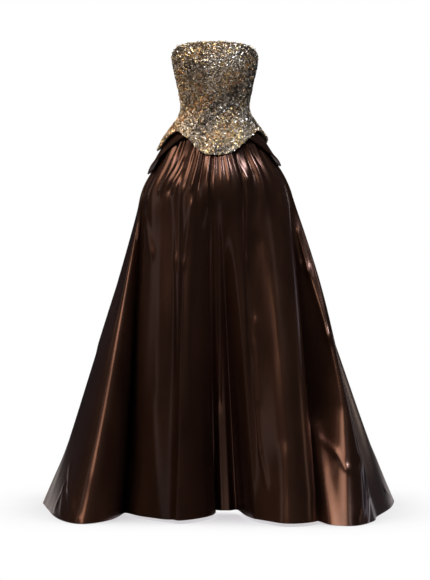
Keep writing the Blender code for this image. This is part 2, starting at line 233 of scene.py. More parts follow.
CREASES = rows_of(
    Crease,
    # The wearer's right of the front recess
    (-1.8, -0.15, -2.03, -0.23, 0.1, 0.003),
    (-2.03, -0.23, -1.95, -0.45, 0.07, 0.004),
    (-1.95, -0.45, -1.78, -0.74, 0.07, 0.0035),
    (-1.55, -0.29, -1.68, -0.46, 0.05, 0.003),
    (-1.68, -0.46, -1.64, -0.86, 0.06, 0.003),
    (-1.35, -0.22, -1.42, -0.95, 0.13, -0.004),
    (-1.05, -0.2, -1.1, -1.12, 0.16, 0.004),
    (-0.92, -0.21, -0.95, -0.29, 0.06, 0.002),
    (-0.72, -0.25, -0.8, -1.0, 0.1, -0.003),
    (-0.3, -0.4, -0.55, -0.85, 0.1, 0.003),
    # The wearer's left of the recess
    (0.99, -0.16, 1.07, -0.21, 0.07, 0.003),
    (1.07, -0.21, 0.92, -0.45, 0.06, 0.004),
    (0.92, -0.45, 1.0, -0.85, 0.06, 0.003),
    (1.2, -0.2, 1.06, -0.6, 0.06, -0.003),
    (1.34, -0.17, 1.14, -0.36, 0.08, 0.0035),
    (1.66, -0.17, 1.63, -0.27, 0.06, 0.003),
    (1.48, -0.25, 1.42, -0.95, 0.12, -0.004),
    (1.76, -0.3, 1.7, -1.1, 0.12, 0.003),
    (1.02, -0.69, 1.0, -0.85, 0.03, 0.0015),
    (1.0, -0.85, 1.03, -0.99, 0.03, 0.0018),
    (1.03, -0.99, 1.12, -1.08, 0.04, 0.0025),
    # The wearer's left front column and the flare beside it
    (2.1, -0.3, 2.17, -0.46, 0.05, 0.0018),
    (2.17, -0.46, 2.15, -0.8, 0.05, 0.0014),
    (2.24, -0.37, 2.3, -0.48, 0.06, 0.004),
    (2.3, -0.48, 2.44, -0.67, 0.06, 0.0045),
    (2.44, -0.67, 2.62, -1.02, 0.07, 0.005),
    (2.62, -1.02, 2.52, -1.15, 0.06, 0.005),
    (2.2, -0.96, 2.32, -0.997, 0.03, 0.002),
    (2.32, -0.997, 2.41, -1.04, 0.03, 0.002),
    (2.41, -1.04, 2.51, -1.042, 0.03, 0.0018),
    (2.17, -0.93, 2.2, -1.19, 0.05, 0.008),
    (2.04, -0.96, 2.02, -1.19, 0.05, 0.007),
    (2.74, -1.04, 2.66, -1.12, 0.03, 0.004),
    (2.66, -1.12, 2.58, -1.18, 0.03, 0.004),
    (3.33, -1.14, 3.4, -1.17, 0.02, 0.003),
    # Short ones under the basque's edge
    (-2.24, -0.16, -2.31, -0.24, 0.05, 0.0035),
    (-2.06, -0.165, -2.13, -0.24, 0.05, -0.0045),
    (-1.7, -0.14, -1.77, -0.225, 0.05, -0.0045),
    (-1.5, -0.14, -1.57, -0.23, 0.05, 0.0035),
    (-1.27, -0.14, -1.35, -0.215, 0.05, -0.0045),
    (-0.66, -0.14, -0.74, -0.215, 0.05, -0.0035),
    (-0.9, -0.135, -1.02, -0.19, 0.09, 0.0035),
    (-0.45, -0.14, -0.5, -0.185, 0.09, 0.0022),
    (0.0, -0.14, 0.02, -0.185, 0.08, 0.0024),
    (0.32, -0.138, 0.4, -0.2, 0.09, 0.003),
    (0.64, -0.135, 0.76, -0.21, 0.09, 0.0035),
    (-2.41, -0.146, -2.15, -0.2, 0.1, 0.003),
    # The wearer's right side
    (-2.65, -0.32, -2.44, -0.43, 0.05, 0.004),
    (-3.14, -0.27, -3.25, -0.39, 0.05, 0.003),
    (-2.3, -0.26, -2.38, -0.8, 0.14, -0.0035),
    (-2.7, -0.45, -2.66, -1.0, 0.12, 0.003),
    (-3.5, -0.5, -3.46, -1.05, 0.16, 0.003),
    (-3.8, -1.05, -3.7, -1.1, 0.025, 0.0028),
    (-3.7, -1.1, -3.54, -1.18, 0.025, 0.0028),
    (-3.79, -1.105, -3.83, -1.17, 0.02, 0.0022),
    (-3.79, -1.105, -3.7, -1.17, 0.02, 0.0022),
    # From the wearer's left side round the back
    (3.7, -0.3, 3.62, -1.0, 0.12, -0.0035),
    (4.2, -0.25, 4.12, -0.7, 0.1, 0.0035),
    (4.55, -0.22, 4.44, -0.95, 0.12, 0.004),
    (4.92, -0.3, 4.98, -1.05, 0.08, -0.003),
    (5.3, -0.25, 5.38, -1.0, 0.12, -0.0035),
    (5.7, -0.2, 5.62, -0.62, 0.08, 0.0035),
    (6.2, -0.28, 6.12, -1.08, 0.1, 0.0035),
    (6.56, -0.22, 6.5, -0.85, 0.13, 0.0035),
    (7.1, -0.23, 7.2, -0.64, 0.07, -0.0035),
    (7.38, -0.25, 7.44, -1.05, 0.12, -0.0035),
    (7.8, -0.35, 7.72, -1.1, 0.09, 0.0035),
    (8.3, -0.22, 8.36, -0.7, 0.1, 0.0035),
    (8.6, -0.3, 8.5, -1.05, 0.12, -0.0035),
)


class Swell(NamedTuple):
    """A soft swelling of the cloth; place and half_width are in folds, the rest in metres."""

    place: float
    height: float
    half_width: float
    half_height: float
    depth: float


SWELLS = rows_of(
    Swell,
    (-2.60, -1.24, 0.24, 0.15, 0.016),
    (-1.20, -1.24, 0.30, 0.12, 0.010),
    (1.40, -1.24, 0.35, 0.12, 0.012),
    (4.50, -1.24, 0.30, 0.16, 0.016),
    (6.40, -1.24, 0.30, 0.18, 0.018),
    (8.40, -1.24, 0.26, 0.16, 0.014),
)

# The height that counts as one fold's width, where a crease's distance is measured
CREASE_REACH = 0.30

# Where creases start and are full, and the satin's softer unevenness
CREASING = (-0.07, -0.15)
SOFT_SIZE = 0.16
SOFT_STRETCH = np.array([1, 1, 0.35])
SOFT_DEPTH = 0.0016


class Kick(NamedTuple):
    """A valley whose cloth kicks out below top, by reach at the floor, towards bearing."""

    place: float
    top: float
    half_width: float
    reach: float
    bearing: float


KICKS = (Kick(2.18, -0.87, 0.30, 0.110, 8),)
KICK_CURVE = 1.25

# (angle, height) right round the gown
NECKLINE = (
    (-180, 0.126), (-150, 0.128), (-120, 0.135), (-90, 0.151), (-75, 0.171), (-58, 0.186),
    (-30, 0.193), (0, 0.195), (30, 0.192), (50, 0.186), (68, 0.173), (90, 0.151),
    (120, 0.135), (150, 0.128),
)

BASQUE_HEM = (
    (-180, -0.124), (-140, -0.100), (-112, -0.110), (-90, -0.123), (-76, -0.113), (-66, -0.083),
    (-52, -0.066), (-38, -0.080), (-26, -0.098), (-14, -0.129), (2, -0.139), (17, -0.130),
    (29, -0.107), (45, -0.081), (66, -0.063), (82, -0.071), (96, -0.088), (118, -0.104), (140, -0.102),
)

# (angle, height) of each hip drape's lower edge, the angle counted from the front
DRAPE_HEMS = {
    "left": ((38, -0.080), (55, -0.106), (75, -0.142), (93, -0.166), (115, -0.156), (140, -0.110)),
    "right": ((38, -0.080), (55, -0.110), (75, -0.158), (95, -0.192), (115, -0.170), (140, -0.110)),
}

PULL_DEPTH = 0.0008
ROLL_DEPTH = 0.0030


class SeamLevel(NamedTuple):
    """The angles of the bodice seams at one height."""

    height: float
    princess: float
    side: float
    back: float
    centre_back: float


SEAMS = rows_of(
    SeamLevel,
    (0.200, 25, 92, 140, 180),
    (0.120, 27, 92, 140, 180),
    (0.000, 18, 92, 150, 180),
    (-0.060, 24, 92, 144, 180),
    (-0.145, 27, 92, 140, 180),
)

# The cups: where they are, how far they spread round and up, and how far they stand out
BUST_ANGLE = 27
BUST_HEIGHT = 0.122
BUST_SPREAD = (19, 0.040)
BUST_DEPTH = 0.0085


class Cut(NamedTuple):
    """A panel: its name, the CAD node it stands for, its edges, its grid and its flat cut."""

    name: str
    node: str
    first: object
    last: object
    columns: int
    width: float
    length: float
    area: float


PRINCESS_LEFT, PRINCESS_RIGHT = (1, "princess"), (-1, "princess")
SIDE_LEFT, SIDE_RIGHT = (1, "side"), (-1, "side")
BACK_LEFT, BACK_RIGHT = (1, "back"), (-1, "back")
CENTRE_LEFT, CENTRE_RIGHT = (1, "centre_back"), (-1, "centre_back")
BODICE_CUTS = rows_of(
    Cut,
    (
        "bodice_front_cloth", "bodice_centre_front",
        PRINCESS_RIGHT, PRINCESS_LEFT, 60, 0.180, 0.346, 0.0355,
    ),
    (
        "bodice_side_front_cloth_left", "bodice_side_front_left",
        PRINCESS_LEFT, SIDE_LEFT, 60, 0.155, 0.326, 0.0349,
    ),
    (
        "bodice_side_back_cloth_left", "bodice_side_back_left",
        SIDE_LEFT, BACK_LEFT, 40, 0.116, 0.261, 0.0230,
    ),
    (
        "bodice_back_cloth_left", "bodice_centre_back_left",
        BACK_LEFT, CENTRE_LEFT, 32, 0.113, 0.261, 0.0186,
    ),
    (
        "bodice_back_cloth_right", "bodice_centre_back_right",
        CENTRE_RIGHT, BACK_RIGHT, 32, 0.113, 0.261, 0.0185,
    ),
    (
        "bodice_side_back_cloth_right", "bodice_side_back_right",
        BACK_RIGHT, SIDE_RIGHT, 40, 0.119, 0.294, 0.0240,
    ),
    (
        "bodice_side_front_cloth_right", "bodice_side_front_right",
        SIDE_RIGHT, PRINCESS_RIGHT, 60, 0.183, 0.311, 0.0371,
    ),
)

SKIRT_CUTS = rows_of(
    Cut,
    ("skirt_front_satin", "skirt_front", -3, 2, 300, 1.264, 1.292, 0.955),
    ("skirt_side_satin_left", "skirt_side_left", 2, 4, 150, 1.002, 1.341, 0.565),
    ("skirt_back_satin_left", "skirt_back_left", 4, 6, 100, 0.962, 1.326, 0.583),
    ("skirt_back_satin_right", "skirt_back_right", 6, 8, 100, 0.978, 1.323, 0.622),
    ("skirt_side_satin_right", "skirt_side_right", 8, 10, 120, 1.039, 1.338, 0.549),
)

# The grid of each sheet
SKIRT_ROWS = 140
BODICE_ROWS = 120
DRAPE_GRID = (90, 44)
LINING_GRID = (120, 30)
UNDERLAP_GRID = (16, 30)

# The rounds in which a place between two slanting seams is found
SEAM_ROUNDS = 7


# Curves through the tables


def spline(knots, values, at, period=None):
    """The smooth curve through the values: natural at its ends, or closed over a period."""
    knots = np.asarray(knots, float)
    values = np.asarray(values, float)
    at = np.asarray(at, float)
    if period:
        at = knots[0] + (at - knots[0]) % period
        knots = np.append(knots, knots[0] + period)
        values = np.append(values, values[0])
    count = len(knots)
    gap = np.diff(knots)
    slope = np.diff(values) / gap
    matrix = np.zeros((count, count))
    wanted = np.zeros(count)
    for i in range(1, count - 1):
        matrix[i, i - 1 : i + 2] = gap[i - 1], 2 * (gap[i - 1] + gap[i]), gap[i]
        wanted[i] = 6 * (slope[i] - slope[i - 1])
    matrix[-1, -1] = 1
    if period:
        matrix[0, 0], matrix[0, 1], matrix[0, -2] = 2 * (gap[0] + gap[-1]), gap[0], gap[-1]
        wanted[0] = 6 * (slope[0] - slope[-1])
        matrix[-1, 0] = -1
    else:
        matrix[0, 0] = 1
    bend = np.linalg.solve(matrix, wanted)
    i = np.clip(np.searchsorted(knots, at, side="right") - 1, 0, count - 2)
    before, after = knots[i + 1] - at, at - knots[i]
    curved = (bend[i] * before**3 + bend[i + 1] * after**3) / (6 * gap[i])
    straight = (values[i] / gap[i] - bend[i] * gap[i] / 6) * before
    return curved + straight + (values[i + 1] / gap[i] - bend[i + 1] * gap[i] / 6) * after


def rising_curve(knots, values, at):
    """A smooth curve through rising values that never turns back between them."""
    gap, slope = np.diff(knots), np.diff(values) / np.diff(knots)
    pull = np.zeros(len(knots))
    pull[1:-1] = 2 * slope[:-1] * slope[1:] / (slope[:-1] + slope[1:])
    pull[0], pull[-1] = slope[0], slope[-1]
    i = np.clip(np.searchsorted(knots, at, side="right") - 1, 0, len(knots) - 2)
    t = (at - knots[i]) / gap[i]
    start = values[i] * (1 + 2 * t) + pull[i] * gap[i] * t
    end = values[i + 1] * (3 - 2 * t) - pull[i + 1] * gap[i] * (1 - t)
    return start * (1 - t) ** 2 + end * t**2


def smooth_step(start, end, value):
    share = np.clip((value - start) / (end - start), 0, 1)
    return share * share * (3 - 2 * share)


def closed_table(table, angle):
    """A height read from a table of (angle, height) that goes right round."""
    return spline([row[0] for row in table], [row[1] for row in table], angle, 360)


def oval(sections, angle, height):
    """(x, y) on the oval of a garment at a height, for arrays of angles and heights."""
    heights = [-section.height for section in sections]
    right, left, front, back = (
        spline(heights, [section[k] for section in sections], -height) for k in range(1, 5)
    )
    turn = np.radians(angle)
    across, ahead = np.sin(turn), np.cos(turn)
    return across * np.where(across > 0, left, right), -ahead * np.where(ahead > 0, front, back)


def wrapped(angle):
    """The same angle between -180 and 180."""
    return (angle + 180) % 360 - 180


def moved_out(x, y, distance):
    """Points (x, y) moved away from the axis by a distance."""
    out = 1 + distance / np.hypot(x, y)
    return x * out, y * out


def unit(vectors):
    return vectors / np.linalg.norm(vectors, axis=-1, keepdims=True)


def bodice_point(angle, height):
    """A point of the bodice's outer face, with the cups."""
    x, y = oval(BODICE_SECTIONS, angle, height)
    side = (np.abs(wrapped(angle)) - BUST_ANGLE) / BUST_SPREAD[0]
    rise = (height - BUST_HEIGHT) / BUST_SPREAD[1]
    cup = BUST_DEPTH * np.exp(-side * side - rise * rise)
    return np.stack([*moved_out(x, y, cup), height + 0 * x], -1)


def outward(chord):
    """The level direction at right angles to a chord, away from the figure."""
    return np.array([chord[1], -chord[0]]) / math.hypot(chord[0], chord[1])


def skirt_knots():
    """The folds as closed rows of knots: four to a fold, ending in its valley."""
    rows = {key: [] for key in ("x", "y", "angle", "dip", "belly", "flare", "lift")}
    before = FOLDS[-1]
    start = np.array([before.valley_x, before.valley_y])
    start_angle, start_dip = before.hip_valley - 360, before.hip_dip
    for fold in FOLDS:
        crest = np.array([fold.crest_x, fold.crest_y])
        end = np.array([fold.valley_x, fold.valley_y])
        near = (start + crest) / 2 + fold.near_bulge * outward(crest - start)
        far = (crest + end) / 2 + fold.far_bulge * outward(end - crest)
        for point in (near, crest, far, end):
            rows["x"].append(point[0])
            rows["y"].append(point[1])
        middle_in = (start_angle + fold.hip_crest) / 2
        middle_out = (fold.hip_crest + fold.hip_valley) / 2
        rows["angle"] += [middle_in, fold.hip_crest, middle_out, fold.hip_valley]
        dips = [start_dip * DIP_BESIDE_CREST, 0.0, fold.hip_dip * DIP_BESIDE_CREST, fold.hip_dip]
        beside = fold.belly * BELLY_BESIDE_CREST
        rows["dip"] += dips
        rows["belly"] += [beside, fold.belly, beside, 0.0]
        rows["flare"] += [fold.flare] * KNOTS_PER_FOLD
        rows["lift"] += [fold.lift] * KNOTS_PER_FOLD
        start, start_angle, start_dip = end, fold.hip_valley, fold.hip_dip
    return rows


KNOT_ROWS = skirt_knots()
KNOT_PLACES = (np.arange(len(KNOT_ROWS["x"])) + 1) / KNOTS_PER_FOLD


def along_folds(key, place):
    """One of the fold rows read at places counted in folds from the front recess."""
    values = np.array(KNOT_ROWS[key], float)
    if key == "angle":
        knots = np.concatenate([KNOT_PLACES - len(FOLDS), KNOT_PLACES, KNOT_PLACES + len(FOLDS)])
        turns = np.concatenate([values - 360, values, values + 360])
        return rising_curve(knots, turns, place)
    return spline(KNOT_PLACES, values, place, len(FOLDS))


def skirt_envelope(angle, height, dip):
    """(x, y) on the skirt's oval at a height, dipped in towards the axis."""
    return moved_out(*oval(SKIRT_SECTIONS, angle, height), -dip)


def pleat_dip(angle, height):
    """How far the short pleats dip the cloth at an angle and a height."""
    dip = np.zeros(np.broadcast(angle, height).shape)
    for pleat in PLEATS:
        off = wrapped(angle - pleat.angle) / pleat.half_width
        starts = smooth_step(*PLEATING, height)
        fades = 1 - smooth_step(PLEATS_FADE, pleat.ends_at, height)
        dip = dip + pleat.depth * np.exp(-off * off) * starts * fades
    return dip


def fold_distance(place, from_place):
    """How far one place of the skirt is past another, in folds, the shorter way round."""
    half = len(FOLDS) / 2
    return (place - from_place + half) % len(FOLDS) - half


def hem_height(place):
    return -WAIST_TO_FLOOR + np.maximum(along_folds("lift", place), 0)


def skirt_point(place, share):
    """A point of the skirt's outer face. share is 0 at the waist and 1 at the hem."""
    hem = hem_height(place)
    top = SKIRT_SECTIONS[0].height
    height = top + (hem - top) * share
    angle = along_folds("angle", place)
    dip = along_folds("dip", place)
    deep = dip * smooth_step(*DIPS, height) + pleat_dip(angle, height)
    upper_x, upper_y = skirt_envelope(angle, height, deep)
    hip_x, hip_y = skirt_envelope(angle, HIP_HEIGHT + 0 * height, dip + pleat_dip(angle, height))
    fall = (HIP_HEIGHT - height) / (HIP_HEIGHT - hem)
    fallen = np.maximum(fall, 0)
    spread = np.where(fall > 0, fallen ** along_folds("flare", place), fall)
    spread = spread * (1 - BOTTOM_SPREAD) + BOTTOM_SPREAD * fallen**4
    hem_x, hem_y = along_folds("x", place), along_folds("y", place)
    lower_x = hip_x + (hem_x - hip_x) * spread
    lower_y = hip_y + (hem_y - hip_y) * spread
    swell = along_folds("belly", place) * 4 * fallen * (1 - fallen) / np.hypot(lower_x, lower_y)
    lower = smooth_step(*HANGING, height)
    x = upper_x * (1 - lower) + lower_x * (1 + swell) * lower
    y = upper_y * (1 - lower) + lower_y * (1 + swell) * lower
    return np.stack([x, y, height], -1)


def kicked_skirt_point(place, share):
    """A point of the skirt's outer face in the scene, with the valleys that kick out."""
    points = skirt_point(place, share)
    for kick in KICKS:
        off = fold_distance(place, kick.place) / kick.half_width
        drop = np.maximum(kick.top - points[..., 2], 0) / (kick.top + WAIST_TO_FLOOR)
        reach = kick.reach * drop**KICK_CURVE * np.exp(-(off**2))
        turn = math.radians(kick.bearing)
        points = points + reach[..., None] * np.array([math.sin(turn), -math.cos(turn), 0])
    return points


def drape_point(angle, height):
    """The hip drape's outer face: the skirt's own oval, moved out over its cloth."""
    x, y = oval(SKIRT_SECTIONS, angle, height)
    stand_off = DRAPE_CLOTH + LAYER_GAP + DRAPE_EASE + DRAPE_STAND * smooth_step(*DRAPE_STANDS, height)
    return np.stack([*moved_out(x, y, stand_off), height + 0 * x], -1)


def outward_normal(surface, across, up):
    """The unit normal of a surface of (across, up), by small steps; up may run either way."""
    side = surface(across + STEP, up) - surface(across - STEP, up)
    rise = surface(across, up + STEP) - surface(across, up - STEP)
    rise = rise * np.sign(rise[..., 2:3])
    return unit(np.cross(side, rise))


def bodice_heights(angle, share):
    """The height at a share of the way down a bodice panel: 0 neckline, 1 waist, 2 hem."""
    top, low = closed_table(NECKLINE, angle), closed_table(BASQUE_HEM, angle)
    return np.where(share <= 1, top * (1 - share), low * (share - 1))


def seam_angle(seam, height):
    """The angle of a named seam at a height, negative on the right side."""
    side, name = seam
    angles = [getattr(level, name) for level in SEAMS]
    return side * spline([-level.height for level in SEAMS], angles, -height)


def bodice_grid(first, last, across, share):
    """Angles and heights over a panel between two seams.

    A seam's angle depends on the height, which depends on the angle, hence the rounds.
    """
    angle = seam_angle(first, 0 * share) * (1 - across) + seam_angle(last, 0 * share) * across
    for _ in range(SEAM_ROUNDS):
        height = bodice_heights(angle, share)
        angle = seam_angle(first, height) * (1 - across) + seam_angle(last, height) * across
    return angle, height


# Unevenness that is the same each run


# How many waves are summed, their lengths in bump sizes, and what the sum is divided by
WAVES = 14
WAVE_LENGTHS = (1.2, 3.0)
WAVE_SUM = 4.0


def wave_noise(points, size, seed):
    """Smooth unevenness between about -1 and 1 over points, with bumps about size across."""
    draw = np.random.default_rng(seed)
    total = np.zeros(points.shape[:-1])
    for _ in range(WAVES):
        turn = draw.normal(size=3)
        turn /= np.linalg.norm(turn)
        pace = 2 * math.pi / (size * draw.uniform(*WAVE_LENGTHS))
        total += np.sin(points @ turn * pace + draw.uniform(0, 2 * math.pi))
    return total / WAVE_SUM


def bodice_relief(points):
    """How far the bodice's cloth is uneven under its encrusting, in metres."""
    return wave_noise(points, 0.006, 3) * 0.0004 + wave_noise(points, 0.03, 4) * 0.0006


def crease_height(place, height):
    """How far the creases and swells move the skirt's face out, in metres."""
    total = np.zeros(place.shape)
    for crease in CREASES:
        across = crease.end_place - crease.start_place
        down = (crease.end_height - crease.start_height) / CREASE_REACH
        off_place = fold_distance(place, crease.start_place)
        off_height = (height - crease.start_height) / CREASE_REACH
        run = np.clip((off_place * across + off_height * down) / (across**2 + down**2), 0, 1)
        off = ((off_place - run * across) ** 2 + (off_height - run * down) ** 2) / crease.half_width**2
        total += crease.depth * np.exp(-off)
    for swell in SWELLS:
        off = (fold_distance(place, swell.place) / swell.half_width) ** 2
        off = off + ((height - swell.height) / swell.half_height) ** 2
        total += swell.depth * np.exp(-off)
    return total


# Making cloth


def deselect_all():
    bpy.ops.object.select_all(action="DESELECT")


def cloth_sheet(name, columns, rows, outer_at, thickness, draw_in=True):
    """A sheet on a grid of shares (across, down), given its thickness on the inside.

    outer_at takes the two share arrays and returns points, outward normals and the unit
    tangents across. Its side edges are drawn in by half a seam's gap.
    """
    deselect_all()
    bpy.ops.mesh.primitive_grid_add(x_subdivisions=columns, y_subdivisions=rows, size=1)
    sheet = bpy.context.active_object
    sheet.name = name
    sheet.data.name = name
    flat = np.zeros(len(sheet.data.vertices) * 3)
    sheet.data.vertices.foreach_get("co", flat)
    flat = flat.reshape(-1, 3)
    across, down = flat[:, 0] + 0.5, 0.5 - flat[:, 1]
    wall = sheet.modifiers.new("Thickness", "SOLIDIFY")
    wall.thickness = thickness
    wall.offset = -1
    wall.material_offset = 1
    wall.material_offset_rim = 0
    bpy.ops.object.modifier_apply(modifier="Thickness")
    points, normals, tangents = outer_at(across, down)
    if draw_in:
        edge = np.where(across < 1e-6, 1.0, 0.0) - np.where(across > 1 - 1e-6, 1.0, 0.0)
        points = points + tangents * (edge * SEAM_GAP / 2)[:, None]
    both = np.concatenate([points, points - normals * thickness])
    sheet.data.vertices.foreach_set("co", both.ravel())
    sheet.data.update()
    bpy.ops.object.shade_smooth_by_angle(angle=SMOOTH_BELOW)
    return sheet


def surface_reader(surface, grid, relief=None):
    """A function for cloth_sheet: a surface read over a grid of its two places.

    Relief moves it level, so that no hem is lifted or pushed down.
    """

    def read(across, down):
        place, share = grid(across, down)
        points = surface(place, share)
        normals = outward_normal(surface, place, share)
        tangents = unit(surface(place + STEP, share) - surface(place - STEP, share))
        tangents = tangents * np.sign(grid(across + 0.01, down)[0] - place)[:, None]
        if relief is not None:
            level = unit(normals * np.array([1, 1, 0]))
            points = points + level * relief(place, points)[:, None]
        return points, normals, tangents

    return read


def dress(piece, slot, *materials):
    """Puts materials on a piece and sets it on the gown's body; slot is not used."""
    piece.data.materials.clear()
    for made in materials:
        piece.data.materials.append(made)
    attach(piece, "root")
    return piece


# Materials


GROUND_STOPS = (
    (0.32, (0.050, 0.040, 0.032)),
    (0.50, (0.190, 0.140, 0.085)),
    (0.68, (0.290, 0.220, 0.140)),
)
METAL_STOPS = (
    (0.00, (0.030, 0.026, 0.026)),
    (0.10, (0.130, 0.112, 0.100)),
    (0.22, (0.50, 0.45, 0.40)),
    (0.34, (0.82, 0.74, 0.64)),
    (0.42, (0.60, 0.53, 0.45)),
    (0.52, (0.70, 0.50, 0.22)),
    (0.62, (0.100, 0.066, 0.045)),
    (0.70, (0.56, 0.44, 0.30)),
    (0.79, (0.74, 0.38, 0.19)),
    (0.88, (0.30, 0.17, 0.06)),
    (0.95, (0.95, 0.85, 0.68)),
)


class Nodes:
    """A material's nodes, added and linked one after another."""

    def __init__(self, name):
        self.material = bpy.data.materials.new(name)
        self.material.use_nodes = True
        self.tree = self.material.node_tree
        self.shader = self.tree.nodes["Principled BSDF"]

    def add(self, kind):
        return self.tree.nodes.new(kind)

    def link(self, source, target):
        self.tree.links.new(source, target)

    def feed(self, socket, source):
        """Links a source to a socket of the shader."""
        self.link(source, self.shader.inputs[socket])

    def place(self):
        """The place on the object, which every pattern follows."""
        return self.add("ShaderNodeTexCoord").outputs["Object"]

    def ramp(self, source, stops, between="LINEAR"):
        node = self.add("ShaderNodeValToRGB")
        node.color_ramp.interpolation = between
        elements = node.color_ramp.elements
        while len(elements) < len(stops):
            elements.new(0.5)
        for element, (place, colour) in zip(elements, stops):
            element.position = place
            element.color = (*colour, 1)
        self.link(source, node.inputs["Fac"])
        return node.outputs["Color"]

    def noise(self, vector, scale, detail=3.0, roughness=0.55):
        node = self.add("ShaderNodeTexNoise")
        node.inputs["Scale"].default_value = scale
        node.inputs["Detail"].default_value = detail
        node.inputs["Roughness"].default_value = roughness
        self.link(vector, node.inputs["Vector"])
        return node.outputs["Fac"]

    def stretched(self, vector, scale):
        node = self.add("ShaderNodeMapping")
        node.inputs["Scale"].default_value = scale
        self.link(vector, node.inputs["Vector"])
        return node.outputs["Vector"]

    def to_range(self, source, low, high):
        node = self.add("ShaderNodeMapRange")
        node.inputs["To Min"].default_value = low
        node.inputs["To Max"].default_value = high
        self.link(source, node.inputs["Value"])
        return node.outputs["Result"]

    def bump(self, source, strength, distance, normal=None):
        node = self.add("ShaderNodeBump")
        node.inputs["Strength"].default_value = strength
        node.inputs["Distance"].default_value = distance
        self.link(source, node.inputs["Height"])
        if normal is not None:
            self.link(normal, node.inputs["Normal"])
        return node.outputs["Normal"]

    def set(self, **values):
        for key, value in values.items():
            self.shader.inputs[key.replace("_", " ")].default_value = value


def satin_material(colours):
    """Satin with fine threads down the cloth, made once for the skirt and the drapes."""
    if "duchess satin" in bpy.data.materials:
        return bpy.data.materials["duchess satin"]
    made = Nodes("duchess satin")
    place = made.place()
    threads = made.noise(made.stretched(place, (240, 240, 5)), 1.0, 2.0)
    cloud = made.noise(made.stretched(place, (6, 6, 2)), 1.0, 3.0)
    tone = made.ramp(cloud, ((0.30, colours.satin_dark), (0.72, colours.satin_light)))
    made.feed("Base Color", tone)
    made.feed("Roughness", made.to_range(threads, 0.20, 0.27))
    made.feed("Normal", made.bump(threads, 0.02, 0.0006))
    made.set(
        Metallic=0.85,
        Specular_Tint=(0.75, 0.72, 0.85, 1),
        Coat_Weight=0.35,
        Coat_Roughness=0.16,
        Coat_IOR=1.45,
        Anisotropic=0.4,
    )
    return made.material


def lining_material():
    """Matt black woven lining, made once for the bodice's inside and the linings."""
    if "black lining" in bpy.data.materials:
        return bpy.data.materials["black lining"]
    made = Nodes("black lining")
    place = made.place()
    weave = made.noise(made.stretched(place, (1400, 1400, 1400)), 1.0, 2.0)
    tone = made.ramp(weave, ((0.3, (0.006, 0.005, 0.005)), (0.7, (0.016, 0.012, 0.011))))
    made.feed("Base Color", tone)
    made.feed("Normal", made.bump(weave, 0.3, 0.0003))
    made.set(Roughness=0.55, Sheen_Weight=0.2, Sheen_Roughness=0.4)
    return made.material


def encrusted_ground():
    """The cloth between the pieces sewn on: gritty metal thread in patches of tone."""
    made = Nodes("encrusted ground")
    place = made.place()
    cells = made.add("ShaderNodeTexVoronoi")
    cells.inputs["Scale"].default_value = 230
    made.link(place, cells.inputs["Vector"])
    grit = made.noise(place, 420, 4.0, 0.7)
    patch = made.noise(place, 22, 3.0)
    made.feed("Base Color", made.ramp(patch, GROUND_STOPS))
    rough = made.bump(grit, 0.6, 0.001)
    made.feed("Normal", made.bump(cells.outputs["Distance"], 0.9, 0.0012, rough))
    made.set(Metallic=0.7, Roughness=0.42)
    return made.material


def metal_trim(name, roughness):
    """Metal whose colour is read piece by piece from its tone."""
    made = Nodes(name)
    tone = made.add("ShaderNodeAttribute")
    tone.attribute_name = "tone"
    made.feed("Base Color", made.ramp(tone.outputs["Fac"], METAL_STOPS, "CONSTANT"))
    made.set(Metallic=0.9, Roughness=roughness)
    return made.material


# The pieces


def make_skirt(settings):
    satin = satin_material(settings)
    for cut in SKIRT_CUTS:
        def grid(across, down, cut=cut):
            return cut.first + (cut.last - cut.first) * across, down

        def relief(place, points):
            height = points[:, 2]
            soft = wave_noise(points * SOFT_STRETCH, SOFT_SIZE, 5) * SOFT_DEPTH
            return (crease_height(place, height) + soft) * smooth_step(*CREASING, height)

        read = surface_reader(kicked_skirt_point, grid, relief)
        sheet = cloth_sheet(cut.name, cut.columns, SKIRT_ROWS, read, SKIRT_CLOTH)
        dress(sheet, "satin", satin, satin)
        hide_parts(cut.node)


def make_hip_drapes(settings):
    satin = satin_material(settings)
    for name, side in (("left", 1), ("right", -1)):
        angles, lows = zip(*DRAPE_HEMS[name])

        def grid(across, down, side=side, angles=angles, lows=lows):
            angle = angles[0] + (angles[-1] - angles[0]) * (across if side > 0 else 1 - across)
            return side * angle, spline(angles, lows, angle) * down

        def relief(angle, points, angles=angles, lows=lows):
            """Soft pulls that grow down the drape, and a rolled lower edge."""
            share = points[:, 2] / spline(angles, lows, np.abs(angle))
            pulls = np.sin(np.abs(angle) * 0.16 + share * 1.6) * PULL_DEPTH
            roll = ROLL_DEPTH * np.exp(-(((share - 0.94) / 0.05) ** 2))
            shown = smooth_step(-0.03, -0.08, points[:, 2])
            return (pulls * smooth_step(0.2, 0.5, share) + roll) * shown

        read = surface_reader(drape_point, grid, relief)
        sheet = cloth_sheet("hip_drape_satin_" + name, *DRAPE_GRID, read, DRAPE_CLOTH, draw_in=False)
        dress(sheet, "satin", satin, satin)
        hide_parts("hip_drape_" + name)


def make_bodice():
    ground = encrusted_ground()
    lining = lining_material()
    for cut in BODICE_CUTS:
        def grid(across, down, cut=cut):
            return bodice_grid(cut.first, cut.last, across, 2 * down)

        def relief(angle, points):
            return bodice_relief(points)

        read = surface_reader(bodice_point, grid, relief)
        sheet = cloth_sheet(cut.name, cut.columns, BODICE_ROWS, read, BODICE_CLOTH)
        dress(sheet, "encrusted_cloth", ground, lining)
        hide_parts(cut.node)


